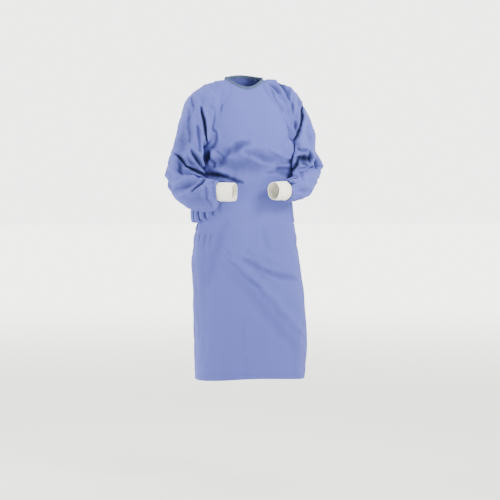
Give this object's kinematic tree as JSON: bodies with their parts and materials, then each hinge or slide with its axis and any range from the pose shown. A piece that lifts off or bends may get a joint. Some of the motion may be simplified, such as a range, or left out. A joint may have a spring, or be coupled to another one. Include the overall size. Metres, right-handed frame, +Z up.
{
  "type": "surgical gown",
  "caption": "Long-sleeved surgical gown in its worn hollow form, open at neck, hem and cuffs, with raglan sleeves, knitted cuffs, a lapped back and waist ties knotted behind.",
  "frame": {"origin": "middle of the neck opening, at the height of the neck points of the shoulders, where the wearer carries the gown", "axes": "+Z is up, the front faces -Y and +X is the wearer's left"},
  "size_m": [0.602, 0.4047, 1.1714],
  "materials": {
    "cloth": "plain woven blue cloth, matt with a slight sheen",
    "binding": "folded bias strip, greyer blue",
    "cuff_knit": "cream ribbed knit",
    "snap": "pale moulded plastic"
  },
  "bodies": {
    "root": {"front_panel": "cloth", "back_panel_left": "cloth", "back_panel_right": "cloth", "sleeve_left_front": "cloth", "sleeve_left_back": "cloth", "sleeve_right_front": "cloth", "sleeve_right_back": "cloth", "cuff_left": "cuff_knit", "cuff_right": "cuff_knit", "neck_binding": "binding", "neck_snap": "snap", "waist_tie_left": "cloth", "waist_tie_right": "cloth", "waist_knot": "cloth", "tie_tail_left": "cloth", "tie_tail_right": "cloth"}
  },
  "joints": []
}
